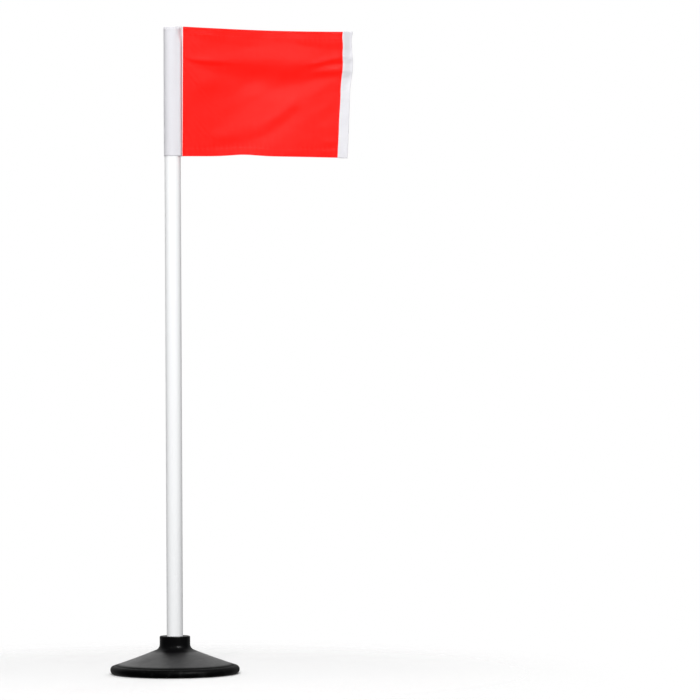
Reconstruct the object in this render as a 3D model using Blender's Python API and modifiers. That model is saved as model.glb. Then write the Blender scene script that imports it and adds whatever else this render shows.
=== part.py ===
"""Corner flag: a cloth flag on a plain plastic pole that stands in a heavy moulded rubber base.

Metres, +Z up. The origin is on the pole's axis at the floor, under the middle of the base.
The flag flies towards +X and its front faces -Y. Every joint's axis is the pole's axis.
"""

import math

import bmesh
import bpy
from mathutils import Vector

GAP = 0.0003  # clearance kept between pieces that touch
CLOTH_GAP = 0.0006  # clearance between layers of rippled cloth

# Overall
TOTAL_HEIGHT = 1.524
BASE_SIDES = 64  # sides of the base as it is turned
POLE_SIDES = 36  # sides of the pole and its small turned pieces

# Rubber base
BASE_RADIUS = 0.1524
BASE_HEIGHT = 0.0889
COLLAR_RADIUS = 0.036
COLLAR_EDGE = 0.0025  # round at the collar's top outer edge
FOOT_FILLET = 0.015  # hollow round where the collar grows out of the dome
DOME_SLOPE = math.radians(20.4)
DOME_FOOT = (0.139, 0.0211)  # radius and height where the dome ends at the rim's groove
DOME_HOLLOW = 0.0008  # how far the dome's flank dips below a straight line
RIM_EDGE = 0.0095  # round over the rim's upper half
RIM_TOP = 0.0195
GROOVE_DEPTH = 0.0007
BOTTOM_EDGE = 0.0095
SOCKET_CLEARANCE = 0.0005  # on the radius, so that the pole pulls out by hand
SOCKET_FLOOR = 0.014
SOCKET_CHAMFER = 0.0034
RECESS_DEPTH = 0.003  # shallow ring under the base, between its foot and its middle boss
RECESS_INNER_RADIUS = 0.045
RECESS_OUTER_RADIUS = 0.136
RIB_WIDTH = 0.007
RIB_PAIRS = 4  # bars that cross the recess from side to side

# Pole
POLE_RADIUS = 0.01905
POLE_WALL = 0.0025
PLUG_STEM = 0.022
PLUG_WALL = 0.002
FOOT_PLUG_HEAD = 0.003
TOP_CAP_HEAD = 0.008
TOP_CAP_ROUND = 0.0045

# Flag cloth
FLAG_HEIGHT = 0.3048
PANEL_THICKNESS = 0.001
SLEEVE_THICKNESS = 0.0008
BAND_THICKNESS = 0.0006
SLEEVE_SLACK = 0.0008  # between the pole and the sleeve's inside
CROWN_ROUND = 0.0045
SEAM_START = 0.0212  # where the sleeve's two layers meet beyond the pole
SEAM_END = 0.025  # edge of the sleeve on the panel
PANEL_HOIST = 0.0216  # hoist edge of the panel, between the sleeve's layers
FLY_TOP = 0.4222  # fly edge of the panel, at its top and its bottom corner
FLY_BOTTOM = 0.4118
FLY_BULGE = 0.0052  # the fly edge stands out a little above its middle
FLY_CORNER = 0.0022
TOP_DROOP = 0.0145
BOTTOM_DROOP = 0.0062
BOTTOM_LIFT = 0.0037  # the bottom edge rides up about a third of the way along
BAND_WIDTH = 0.0254
HEM_WIDTH = 0.019
THREAD_RADIUS = 0.0004
SEAM_INSET = 0.0022  # from a layer's edge to its row of stitches

POLE_BOTTOM = SOCKET_FLOOR + GAP
TUBE_BOTTOM = POLE_BOTTOM + FOOT_PLUG_HEAD + GAP
POLE_TOP = TOTAL_HEIGHT - SLEEVE_THICKNESS - GAP
TUBE_TOP = POLE_TOP - TOP_CAP_HEAD - GAP
FLAG_BOTTOM = TOTAL_HEIGHT - FLAG_HEIGHT
SLEEVE_RADIUS = POLE_RADIUS + SLEEVE_SLACK + SLEEVE_THICKNESS / 2
SLEEVE_TOP = TOTAL_HEIGHT - CROWN_ROUND - GAP
TAIL_OFFSET = PANEL_THICKNESS / 2 + GAP + SLEEVE_THICKNESS / 2
BAND_OFFSET = PANEL_THICKNESS / 2 + CLOTH_GAP + BAND_THICKNESS / 2


def clear_scene():
    for old in list(bpy.data.objects):
        bpy.data.objects.remove(old, do_unlink=True)


def new_collection(name):
    made = bpy.data.collections.new(name)
    bpy.context.scene.collection.children.link(made)
    return made


def new_frame(name, height, parent, collection):
    """An empty on the pole's axis that carries the pieces of one moving group."""
    frame = bpy.data.objects.new(name, None)
    frame.empty_display_size = 0.05
    frame.location = (0, 0, height)
    frame.parent = parent
    if parent is not None:
        frame.location.z = height - parent.location.z
    collection.objects.link(frame)
    return frame


def plain_material(name, colour, roughness, sheen=0.0):
    material = bpy.data.materials.new(name)
    material.use_nodes = True
    shader = material.node_tree.nodes["Principled BSDF"]
    shader.inputs["Base Color"].default_value = (*colour, 1)
    shader.inputs["Roughness"].default_value = roughness
    shader.inputs["Metallic"].default_value = 0
    shader.inputs["Sheen Weight"].default_value = sheen
    material.diffuse_color = (*colour, 1)
    return material


def place(name, data, material, group):
    """An object for one piece, in its group's frame, whose origin is on the pole's axis."""
    piece = bpy.data.objects.new(name, data)
    data.materials.clear()
    data.materials.append(material)
    piece.parent = group["frame"]
    group["collection"].objects.link(piece)
    return piece


def arc(centre, radius, start, end, steps):
    """Points (radius, height) along a round, from one angle to another in degrees."""
    found = []
    for i in range(steps + 1):
        angle = math.radians(start + (end - start) * i / steps)
        found.append((centre[0] + radius * math.cos(angle), centre[1] + radius * math.sin(angle)))
    return found


def turned_mesh(name, profile, sides, closed=False):
    """A mesh turned about Z from a profile that runs down its outer side."""
    outline = bpy.data.meshes.new(name)
    edges = [(i, i + 1) for i in range(len(profile) - 1)]
    if closed:
        edges.append((len(profile) - 1, 0))
    outline.from_pydata([(r, 0, z) for r, z in profile], edges, [])
    blank = bpy.data.objects.new(name + "_blank", outline)
    bpy.context.scene.collection.objects.link(blank)
    screw = blank.modifiers.new("turn", "SCREW")
    screw.axis = "Z"
    screw.steps = sides
    screw.render_steps = sides
    screw.use_merge_vertices = True
    screw.merge_threshold = 0.00001
    graph = bpy.context.evaluated_depsgraph_get()
    mesh = bpy.data.meshes.new_from_object(blank.evaluated_get(graph))
    bpy.data.objects.remove(blank, do_unlink=True)
    bpy.data.meshes.remove(outline)
    mesh.name = name
    mesh.shade_smooth()
    mesh.set_sharp_from_angle(angle=math.radians(35))
    return mesh


def grid_mesh(name, columns, rows, point_at):
    """An open sheet of quads with point_at(column, row) at each crossing."""
    mesh = bpy.data.meshes.new(name)
    sheet = bmesh.new()
    across = len(columns) - 1
    up = len(rows) - 1
    bmesh.ops.create_grid(sheet, x_segments=across, y_segments=up, size=1)
    for vertex in sheet.verts:
        i = round((vertex.co.x + 1) / 2 * across)
        j = round((vertex.co.y + 1) / 2 * up)
        vertex.co = point_at(columns[i], rows[j])
    sheet.to_mesh(mesh)
    sheet.free()
    mesh.shade_smooth()
    return mesh


def thicken(piece, thickness):
    solid = piece.modifiers.new("thickness", "SOLIDIFY")
    solid.thickness = thickness
    solid.offset = 0
    solid.use_even_offset = True


def thread(name, points, material, group):
    """A run of sewing thread as one thin rod through the points."""
    curve = bpy.data.curves.new(name, "CURVE")
    curve.dimensions = "3D"
    curve.bevel_depth = THREAD_RADIUS
    curve.bevel_resolution = 2
    curve.use_fill_caps = True
    run = curve.splines.new("POLY")
    run.points.add(len(points) - 1)
    for knot, point in zip(run.points, points):
        knot.co = (*point, 1)
    return place(name, curve, material, group)


def cut_box(name, size, collection, material):
    mesh = bpy.data.meshes.new(name)
    block = bmesh.new()
    bmesh.ops.create_cube(block, size=1)
    bmesh.ops.scale(block, vec=size, verts=block.verts)
    block.to_mesh(mesh)
    block.free()
    mesh.materials.append(material)
    return hide_cutter(name, mesh, collection)


def hide_cutter(name, mesh, collection):
    cutter = bpy.data.objects.new(name, mesh)
    cutter.hide_render = True
    cutter.display_type = "WIRE"
    collection.objects.link(cutter)
    return cutter


def subtract(piece, cutter):
    cut = piece.modifiers.new(cutter.name, "BOOLEAN")
    cut.operation = "DIFFERENCE"
    cut.solver = "EXACT"
    cut.object = cutter


# Rubber base


def base_profile():
    """Down the socket's mouth, the collar, the dome and the rim, and back in under the base."""
    bore = POLE_RADIUS + SOCKET_CLEARANCE
    points = [(0, SOCKET_FLOOR), (bore, SOCKET_FLOOR), (bore, BASE_HEIGHT - SOCKET_CHAMFER)]
    points.append((bore + SOCKET_CHAMFER, BASE_HEIGHT))
    edge_centre = (COLLAR_RADIUS - COLLAR_EDGE, BASE_HEIGHT - COLLAR_EDGE)
    points += arc(edge_centre, COLLAR_EDGE, 90, 0, 3)
    flank_radius = COLLAR_RADIUS + FOOT_FILLET * (1 - math.sin(DOME_SLOPE))
    flank_height = DOME_FOOT[1] + (DOME_FOOT[0] - flank_radius) * math.tan(DOME_SLOPE)
    fillet_centre = (COLLAR_RADIUS + FOOT_FILLET, flank_height + FOOT_FILLET * math.cos(DOME_SLOPE))
    points += arc(fillet_centre, FOOT_FILLET, 180, 270 - math.degrees(DOME_SLOPE), 5)
    flank_steps = 4
    for i in range(1, flank_steps + 1):
        share = i / flank_steps
        radius = flank_radius + (DOME_FOOT[0] - flank_radius) * share
        height = flank_height + (DOME_FOOT[1] - flank_height) * share
        points.append((radius, height - 4 * DOME_HOLLOW * share * (1 - share)))
    rim_centre = (BASE_RADIUS - RIM_EDGE, RIM_TOP - RIM_EDGE)
    groove_radius = (DOME_FOOT[0] + rim_centre[0]) / 2
    points.append((groove_radius, RIM_TOP - GROOVE_DEPTH))
    points += arc(rim_centre, RIM_EDGE, 90, 0, 6)
    points += arc((BASE_RADIUS - BOTTOM_EDGE, BOTTOM_EDGE), BOTTOM_EDGE, 0, -90, 5)
    points.append((0, 0))
    return points


def recess_cutter(cutters, material):
    """The ring cut from the underside, less the ribs that cross it."""
    below = -0.002
    profile = [
        (RECESS_INNER_RADIUS, RECESS_DEPTH),
        (RECESS_OUTER_RADIUS, RECESS_DEPTH),
        (RECESS_OUTER_RADIUS, below),
        (RECESS_INNER_RADIUS, below),
    ]
    ring = turned_mesh("recess_cutter", profile, BASE_SIDES, closed=True)
    ring.materials.append(material)
    cutter = hide_cutter("recess_cutter", ring, cutters)
    for i in range(RIB_PAIRS):
        size = (2.4 * RECESS_OUTER_RADIUS, RIB_WIDTH, 4 * RECESS_DEPTH)
        bar = cut_box(f"rib_keeper_{i + 1}", size, cutters, material)
        bar.rotation_euler = (0, 0, math.pi * (i + 0.5) / RIB_PAIRS)
        subtract(cutter, bar)
    return cutter


def rubber_base(group, cutters):
    rubber = plain_material("black_rubber", (0.012, 0.012, 0.013), 0.42)
    base = place("rubber_base", turned_mesh("rubber_base", base_profile(), BASE_SIDES), rubber, group)
    subtract(base, recess_cutter(cutters, rubber))


# Pole


def pole_tube(group):
    low = TUBE_BOTTOM - POLE_BOTTOM
    high = TUBE_TOP - POLE_BOTTOM
    inner = POLE_RADIUS - POLE_WALL
    profile = [(inner, high), (POLE_RADIUS, high), (POLE_RADIUS, low), (inner, low)]
    plastic = plain_material("white_pole_plastic", (0.86, 0.87, 0.88), 0.3)
    mesh = turned_mesh("pole_tube", profile, POLE_SIDES, closed=True)
    place("pole_tube", mesh, plastic, group)


def pole_top_cap(group):
    """A plug with a rounded head, open underneath, pressed into the top of the tube."""
    top = POLE_TOP - POLE_BOTTOM
    seat = top - TOP_CAP_HEAD
    stem = POLE_RADIUS - POLE_WALL - GAP
    profile = [(0, top)]
    profile += arc((POLE_RADIUS - TOP_CAP_ROUND, top - TOP_CAP_ROUND), TOP_CAP_ROUND, 90, 0, 4)
    profile += [(POLE_RADIUS, seat), (stem, seat), (stem, seat - PLUG_STEM)]
    profile += [(stem - PLUG_WALL, seat - PLUG_STEM), (stem - PLUG_WALL, seat), (0, seat)]
    plastic = plain_material("white_cap_plastic", (0.84, 0.84, 0.84), 0.4)
    place("pole_top_cap", turned_mesh("pole_top_cap", profile, POLE_SIDES), plastic, group)


def pole_foot_plug(group):
    """A plug with a flat head that closes the bottom of the tube and stands on the socket's floor."""
    stem = POLE_RADIUS - POLE_WALL - GAP
    top = FOOT_PLUG_HEAD + PLUG_STEM
    profile = [(0, FOOT_PLUG_HEAD), (stem - PLUG_WALL, FOOT_PLUG_HEAD), (stem - PLUG_WALL, top)]
    profile += [(stem, top), (stem, FOOT_PLUG_HEAD), (POLE_RADIUS, FOOT_PLUG_HEAD)]
    profile += [(POLE_RADIUS, 0.001), (POLE_RADIUS - 0.001, 0), (0, 0)]
    plastic = plain_material("black_plug_plastic", (0.03, 0.03, 0.03), 0.5)
    place("pole_foot_plug", turned_mesh("pole_foot_plug", profile, POLE_SIDES), plastic, group)


# Flag


def smooth_step(value):
    value = min(max(value, 0.0), 1.0)
    return value * value * (3 - 2 * value)


def bump(value, centre, width):
    return math.exp(-(((value - centre) / width) ** 2))


def through(points, s):
    """A smooth curve over s through a few (s, value) points."""
    last = len(points) - 1
    i = 0
    while i < last - 1 and s > points[i + 1][0]:
        i += 1
    slopes = []
    for k in (i, i + 1):
        before, after = points[max(k - 1, 0)], points[min(k + 1, last)]
        slopes.append((after[1] - before[1]) / (after[0] - before[0]))
    span = points[i + 1][0] - points[i][0]
    u = min(max((s - points[i][0]) / span, 0.0), 1.0)
    start = (1 + 2 * u) * (1 - u) ** 2 * points[i][1] + u * (1 - u) ** 2 * span * slopes[0]
    return start + u * u * (3 - 2 * u) * points[i + 1][1] - u * u * (1 - u) * span * slopes[1]


# Folds. Each runs along a line of (share along the cloth, share up it) where the cloth faces down
# most: steep is its slope there, and width, a share of the flag's height, is how broad it is.
FOLDS = (
    {
        "line": ((0, 0.735), (0.12, 0.72), (0.3, 0.69), (0.5, 0.665), (0.64, 0.645), (0.78, 0.675), (1, 0.71)),
        "width": ((0, 0.03), (0.14, 0.04), (0.3, 0.06), (0.5, 0.075), (0.66, 0.085), (0.8, 0.06), (1, 0.04)),
        "steep": 0.32,
        "span": (0.03, 0.9),
    },
    {
        "line": ((0, 0.06), (0.24, 0.11), (0.4, 0.15), (0.505, 0.215), (0.61, 0.32), (0.71, 0.42), (0.85, 0.52)),
        "width": ((0, 0.04), (0.5, 0.055), (0.85, 0.04)),
        "steep": 0.2,
        "span": (0.12, 0.74),
    },
    {
        "line": ((0.5, 0.935), (0.63, 0.925), (0.76, 0.9), (0.88, 0.893), (1, 0.885)),
        "width": ((0.5, 0.025), (1, 0.03)),
        "steep": 0.18,
        "span": (0.56, 1.1),
    },
    {
        "line": ((0, 0.4), (0.15, 0.5), (0.3, 0.56), (0.5, 0.6)),
        "width": ((0, 0.09), (0.5, 0.06)),
        "steep": 0.07,
        "span": (0.0, 0.42),
    },
)


def fold_depth(fold, s, t):
    """A ridge over a valley: its depth, towards the back, to either side of the fold's line."""
    width = through(fold["width"], s)
    off = (t - through(fold["line"], s)) / width
    starts, ends = fold["span"]
    reach = smooth_step((s - starts + 0.04) / 0.12) * smooth_step((ends + 0.04 - s) / 0.12)
    return -fold["steep"] * width * FLAG_HEIGHT * reach * off * math.exp(-0.5 * off * off)


def flag_depth(s, t):
    """How far the cloth stands towards the back: soft folds that start flat at the hoist seam."""
    total = 0.0042 * math.sin(2.1 * math.pi * (s - 0.25 * t))
    total += 0.005 * (1 - t) * s * s * math.sin(3.2 * math.pi * s)
    total -= 0.011 * smooth_step((0.62 - t) / 0.7) * smooth_step(s / 0.6)
    total *= smooth_step((s - 0.015) / 0.22)
    for fold in FOLDS:
        total += fold_depth(fold, s, t) * smooth_step((s - 0.012) / 0.05)
    return total


def fly_edge(t):
    """How far out the fly edge stands at a share of the flag's height."""
    corner = FLY_CORNER * smooth_step((t - 0.94) / 0.06)
    return FLY_BOTTOM + (FLY_TOP - FLY_BOTTOM) * t + FLY_BULGE * bump(t, 0.735, 0.125) + corner


def sheet_point(s, t):
    """The cloth's middle surface: s is 0 at the hoist edge and 1 at the fly, t is 0 at the bottom."""
    fly = fly_edge(t)
    droop = TOP_DROOP * (1 - (1 - s) ** 1.7)
    low = BOTTOM_LIFT * bump(s, 0.375, 0.11) - BOTTOM_DROOP * s * s
    low *= smooth_step(s / 0.1)
    high = FLAG_HEIGHT - droop
    return Vector((PANEL_HOIST + (fly - PANEL_HOIST) * s, flag_depth(s, t), low + (high - low) * t))


def sheet_normal(s, t):
    """The unit normal on the cloth's front side."""
    step = 0.001
    s = min(s, 1 - step)
    along = sheet_point(s + step, t) - sheet_point(s - step, t)
    up = sheet_point(s, t + step) - sheet_point(s, t - step)
    return along.cross(up).normalized()


def steps_between(start, end, count):
    return [start + (end - start) * i / count for i in range(count + 1)]


def panel_share(distance):
    """The share of the panel's width at this distance from the pole's axis."""
    return (distance - PANEL_HOIST) / ((FLY_TOP + FLY_BOTTOM) / 2 - PANEL_HOIST)


def height_share(height):
    return height / FLAG_HEIGHT


SEAM_SHARE = panel_share(SEAM_END + 0.002)
BAND_SHARE = 1 - BAND_WIDTH / ((FLY_TOP + FLY_BOTTOM) / 2 - PANEL_HOIST)
HEM_SHARE = height_share(HEM_WIDTH)
FREE_COLUMNS = steps_between(SEAM_SHARE, BAND_SHARE - 0.008, 26)
BAND_COLUMNS = [BAND_SHARE, BAND_SHARE + SEAM_INSET / 0.4, (BAND_SHARE + 1) / 2, 1.0]
SHEET_ROWS = [0.0] + steps_between(HEM_SHARE, 1 - HEM_SHARE, 26) + [1.0]


def flag_panel(group):
    columns = [0.0] + FREE_COLUMNS + BAND_COLUMNS
    cloth = plain_material("red_flag_cloth", (0.95, 0.06, 0.03), 0.75, 0.3)
    panel = place("flag_panel", grid_mesh("flag_panel", columns, SHEET_ROWS, sheet_point), cloth, group)
    thicken(panel, PANEL_THICKNESS)


def band_point(column, row):
    """Around the fly edge: column is (share along the cloth, degrees round from the front)."""
    share, angle = column
    angle = math.radians(angle)
    normal = sheet_normal(share, row)
    along = (sheet_point(1.0, row) - sheet_point(0.999, row)).normalized()
    outward = normal * math.cos(angle) + along * math.sin(angle)
    return sheet_point(share, row) + outward * BAND_OFFSET


def fly_band(group):
    """A tape folded over the fly edge, on both faces of the panel."""
    columns = [(share, 0) for share in BAND_COLUMNS]
    columns += [(1.0, 60), (1.0, 120)]
    columns += [(share, 180) for share in reversed(BAND_COLUMNS)]
    cloth = plain_material("white_band_cloth", (0.86, 0.85, 0.88), 0.8, 0.3)
    band = place("fly_band", grid_mesh("fly_band", columns, SHEET_ROWS, band_point), cloth, group)
    thicken(band, BAND_THICKNESS)


def sleeve_path(grow):
    """The sleeve's outline in plan, from its front tail round the pole to its back tail."""
    radius = SLEEVE_RADIUS + grow
    offset = TAIL_OFFSET + grow
    reach = math.hypot(SEAM_START, TAIL_OFFSET)
    leave = math.degrees(math.acos(SLEEVE_RADIUS / reach) + math.atan2(TAIL_OFFSET, SEAM_START))
    round_steps = 24
    points = [(SEAM_END, -offset), (SEAM_START + 0.0012, -offset)]
    for i in range(round_steps + 1):
        angle = math.radians(-leave - (360 - 2 * leave) * i / round_steps)
        points.append((radius * math.cos(angle), radius * math.sin(angle)))
    points += [(SEAM_START + 0.0012, offset), (SEAM_END, offset)]
    return points


def hoist_sleeve(group):
    """A pocket round the pole whose two edges are sewn to the panel, front and back."""
    high = SLEEVE_TOP - FLAG_BOTTOM
    rows = [0.0] + steps_between(HEM_WIDTH, high - HEM_WIDTH, 4) + [high]
    cloth = plain_material("white_sleeve_cloth", (0.86, 0.85, 0.88), 0.8, 0.3)
    mesh = grid_mesh("hoist_sleeve", sleeve_path(0), rows, lambda place, row: (*place, row))
    thicken(place("hoist_sleeve", mesh, cloth, group), SLEEVE_THICKNESS)


def sleeve_crown(group):
    """The round end patch that closes the sleeve over the pole's cap."""
    top = TOTAL_HEIGHT - FLAG_BOTTOM
    radius = SLEEVE_RADIUS + SLEEVE_THICKNESS / 2
    centre = (radius - CROWN_ROUND, top - CROWN_ROUND)
    profile = [(0, top)] + arc(centre, CROWN_ROUND, 90, 0, 4)
    profile += arc(centre, CROWN_ROUND - SLEEVE_THICKNESS, 0, 90, 4)
    profile.append((0, top - SLEEVE_THICKNESS))
    cloth = plain_material("white_crown_cloth", (0.86, 0.85, 0.88), 0.8, 0.3)
    place("sleeve_crown", turned_mesh("sleeve_crown", profile, POLE_SIDES), cloth, group)


def hem_threads(group, white):
    lift = PANEL_THICKNESS / 2 + GAP + THREAD_RADIUS
    for edge, row in (("top", 1 - HEM_SHARE), ("bottom", HEM_SHARE)):
        for face, side in (("front", 1), ("back", -1)):
            points = [sheet_point(s, row) + sheet_normal(s, row) * lift * side for s in FREE_COLUMNS]
            thread(f"{edge}_hem_thread_{face}", points, white, group)


def fly_seam_threads(group, white):
    lift = BAND_OFFSET + BAND_THICKNESS / 2 + GAP + THREAD_RADIUS
    share = BAND_COLUMNS[1]
    for face, side in (("front", 1), ("back", -1)):
        points = [sheet_point(share, t) + sheet_normal(share, t) * lift * side for t in SHEET_ROWS]
        thread(f"fly_seam_thread_{face}", points, white, group)


def hoist_seam_threads(group, white):
    lift = TAIL_OFFSET + SLEEVE_THICKNESS / 2 + GAP + THREAD_RADIUS
    distance = SEAM_END - SEAM_INSET / 2
    margin = 0.002
    high = SLEEVE_TOP - FLAG_BOTTOM - margin
    for face, side in (("front", -1), ("back", 1)):
        heights = steps_between(margin, high, 6)
        points = [(distance, side * lift, height) for height in heights]
        thread(f"hoist_seam_thread_{face}", points, white, group)


def sleeve_threads(group, white):
    """Round the sleeve's bottom hem, and round the seam that holds its crown."""
    lift = SLEEVE_THICKNESS / 2 + GAP + THREAD_RADIUS
    around = sleeve_path(lift)[2:-2]
    thread("sleeve_hem_thread", [(*place, HEM_WIDTH) for place in around], white, group)
    height = SLEEVE_TOP - FLAG_BOTTOM - SEAM_INSET
    thread("crown_seam_thread", [(*place, height) for place in around], white, group)


def flag_threads(group):
    white = plain_material("white_thread", (0.85, 0.85, 0.86), 0.6)
    hoist_seam_threads(group, white)
    fly_seam_threads(group, white)
    hem_threads(group, white)
    sleeve_threads(group, white)


def main():
    clear_scene()
    parts = new_collection("corner_flag")
    cutters = new_collection("corner_flag_cutters")
    base_frame = new_frame("base_frame", 0, None, parts)
    pole_frame = new_frame("pole_frame", POLE_BOTTOM, base_frame, parts)
    flag_frame = new_frame("flag_frame", FLAG_BOTTOM, pole_frame, parts)
    base = {"frame": base_frame, "collection": parts}
    pole = {"frame": pole_frame, "collection": parts}
    flag = {"frame": flag_frame, "collection": parts}
    rubber_base(base, cutters)
    pole_foot_plug(pole)
    pole_tube(pole)
    pole_top_cap(pole)
    hoist_sleeve(flag)
    sleeve_crown(flag)
    flag_panel(flag)
    fly_band(flag)
    flag_threads(flag)


main()
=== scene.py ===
"""Looks of the corner flag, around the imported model: rubber base, plastic pole, sewn cloth flag."""

import math

import bpy
import numpy as np
from mathutils import Matrix, Vector


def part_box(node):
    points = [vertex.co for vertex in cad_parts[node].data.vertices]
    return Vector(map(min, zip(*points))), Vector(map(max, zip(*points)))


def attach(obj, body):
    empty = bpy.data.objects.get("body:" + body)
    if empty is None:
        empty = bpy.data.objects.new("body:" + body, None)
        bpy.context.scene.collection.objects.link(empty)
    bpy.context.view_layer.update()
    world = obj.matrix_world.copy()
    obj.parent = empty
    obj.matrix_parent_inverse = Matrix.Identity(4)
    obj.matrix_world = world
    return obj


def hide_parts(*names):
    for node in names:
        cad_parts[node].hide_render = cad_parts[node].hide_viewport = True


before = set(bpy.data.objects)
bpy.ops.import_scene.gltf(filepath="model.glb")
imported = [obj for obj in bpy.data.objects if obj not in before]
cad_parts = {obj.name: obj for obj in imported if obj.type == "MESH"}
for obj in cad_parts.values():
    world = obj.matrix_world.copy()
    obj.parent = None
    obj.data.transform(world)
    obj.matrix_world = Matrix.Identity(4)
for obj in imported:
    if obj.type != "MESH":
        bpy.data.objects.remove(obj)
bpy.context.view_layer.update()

# Places and sizes read from the frame, in metres
BASE_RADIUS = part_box("rubber_base")[1].x
BASE_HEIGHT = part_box("rubber_base")[1].z
TUBE_LOW, TUBE_HIGH = (corner.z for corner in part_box("pole_tube"))
POLE_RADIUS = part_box("pole_tube")[1].x
CAP_LOW, CAP_HIGH = (corner.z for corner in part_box("pole_top_cap"))
PLUG_LOW, PLUG_HIGH = (corner.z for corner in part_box("pole_foot_plug"))
SLEEVE_LOW, SLEEVE_HIGH = (corner.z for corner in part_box("hoist_sleeve"))
SLEEVE_OUTER = -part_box("hoist_sleeve")[0].x
SEAM_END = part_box("hoist_sleeve")[1].x
CROWN_LOW, CROWN_HIGH = (corner.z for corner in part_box("sleeve_crown"))
PANEL_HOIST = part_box("flag_panel")[0].x
FLAG_HEIGHT = CROWN_HIGH - SLEEVE_LOW

# Base, as its moulding goes
COLLAR_RADIUS = 0.036
COLLAR_EDGE = 0.0025
FOOT_FILLET = 0.015
DOME_SLOPE = math.radians(20.4)
DOME_FOOT = (0.139, 0.0211)
DOME_HOLLOW = 0.0008
RIM_EDGE = 0.0095
RIM_TOP = 0.0195
GROOVE_DEPTH = 0.0007
BOTTOM_EDGE = 0.0095
SOCKET_CLEARANCE = 0.0005
SOCKET_FLOOR = 0.014
SOCKET_CHAMFER = 0.0034
RECESS_DEPTH = 0.003
RECESS_INNER = 0.045
RECESS_OUTER = 0.136
RIB_WIDTH = 0.007
RIBS = 8

# Pole and plugs
POLE_WALL = 0.0025
CAP_HEAD = 0.008
CAP_ROUND = 0.0045
PLUG_HEAD = 0.003
PLUG_WALL = 0.002
PLUG_EASE = 0.0003  # between a plug's stem and the tube's bore

# How finely the round pieces are turned
BASE_SIDES = 224
POLE_SIDES = 120
PLUG_SIDES = 96
CROWN_SIDES = 140
SLEEVE_STEPS = 108

# Cloth, as cut and sewn
CLOTH = 0.0003  # thickness of one layer
LAYER_GAP = 0.0003  # air between two layers of a hem or a seam
HEM_WIDTH = 0.019
BAND_WIDTH = 0.0232
SEAM_START = 0.0212  # where the sleeve's two layers meet beyond the pole
FLAT_WIDTH = 0.408
FLAT_HEIGHT = 0.3048
FLY_BOTTOM = 0.4118
FLY_TOP = 0.4222
FLY_BULGE = 0.0052
TOP_DROOP = 0.0145
BOTTOM_DROOP = 0.0062
BOTTOM_LIFT = 0.0037
STITCH_LENGTH = 0.0026
STITCH_PITCH = 0.0034
STITCH_RADIUS = 0.00024
SEAM_INSET = 0.0022
HEM_INSET = 0.0025  # from a hem's raw edge to its stitches
HOIST_INSET = 0.0014  # from the sleeve's tails to theirs
SLEEVE_EASE = 0.0004  # from the sleeve's skin out to the CAD sleeve's, and from the panel to its tails
BAND_LIFT = CLOTH * 2.2 + 0.00035  # from the panel's middle to the tape's
BAND_OVERHANG = 0.0011  # of the tape past the panel's top and bottom edges

# Colours, linear, and the weaves' thread pitches
RUBBER, RUBBER_DUSTY = (0.0028, 0.0028, 0.003), (0.0062, 0.0062, 0.0065)
# The rim's darker colour is painted shade; the scuffed colour is real wear.
RUBBER_RIM_PAINTED_SHADE, RUBBER_SCUFFED = (0.001, 0.001, 0.0011), (0.02, 0.02, 0.02)
POLE, POLE_PALE = (0.85, 0.86, 0.87), (0.88, 0.888, 0.895)
POLE_SPECK, POLE_GRIME = (0.45, 0.45, 0.44), (0.6, 0.61, 0.62)
CAP, PLUG = (0.78, 0.79, 0.8), (0.02, 0.02, 0.02)
# RED_GLOW is painted light: the red cloth glows a little, though it is no lamp.
RED, RED_SHADE, RED_GLOW = (0.98, 0.007, 0.0055), (0.95, 0.005, 0.004), (1.0, 0.05, 0.02)
WHITE, WHITE_SHADE = (0.7, 0.695, 0.728), (0.665, 0.66, 0.695)
RED_THREAD, WHITE_THREAD = (0.85, 0.02, 0.015), (0.84, 0.84, 0.87)
RED_PITCH, WHITE_PITCH = 0.00055, 0.0006
FLOOR, FLOOR_PALE = (0.79, 0.79, 0.79), (0.82, 0.82, 0.82)

# Camera and stage
CAMERA_DISTANCE = 10.0
CAMERA_HEIGHT = 0.80
CAMERA_LENS = 218.3
CAMERA_ROLL = math.radians(-0.26)
VIEW_CENTRE = (0.4157, 0.7606)  # along X and Z, on the plane of the pole


# ------------ mesh helpers


def new_object(name, vertices, faces, uv=None):
    """A smooth-shaded mesh object. uv gives one pair for each vertex, in metres along the surface."""
    mesh = bpy.data.meshes.new(name)
    mesh.from_pydata([tuple(v) for v in vertices], [], [tuple(f) for f in faces])
    mesh.validate()
    if uv is not None:
        layer = mesh.uv_layers.new(name="UVMap")
        index = np.empty(len(mesh.loops), np.int32)
        mesh.loops.foreach_get("vertex_index", index)
        layer.data.foreach_set("uv", np.asarray(uv, np.float32)[index].ravel())
    mesh.shade_smooth()
    made = bpy.data.objects.new(name, mesh)
    bpy.context.scene.collection.objects.link(made)
    return made


def grid_faces(rows, columns, closed=False):
    """Quads over rows x columns points. closed joins the last column to the first."""
    faces = []
    for j in range(rows - 1):
        for i in range(columns if closed else columns - 1):
            k = (i + 1) % columns
            low, high = j * columns, (j + 1) * columns
            faces.append((low + i, low + k, high + k, high + i))
    return faces


def flipped(faces):
    return [tuple(reversed(face)) for face in faces]


def unit(vectors):
    return vectors / np.linalg.norm(vectors, axis=-1, keepdims=True)


def run_along(points):
    """The length along a line of points, from its first point to each."""
    return np.concatenate([[0], np.cumsum(np.linalg.norm(np.diff(points, axis=0), axis=1))])


def arc(centre, radius, start, end, steps):
    """Points round a centre, from one angle in degrees to another."""
    angles = np.radians(np.linspace(start, end, steps + 1))
    return [(centre[0] + radius * math.cos(a), centre[1] + radius * math.sin(a)) for a in angles]


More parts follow.
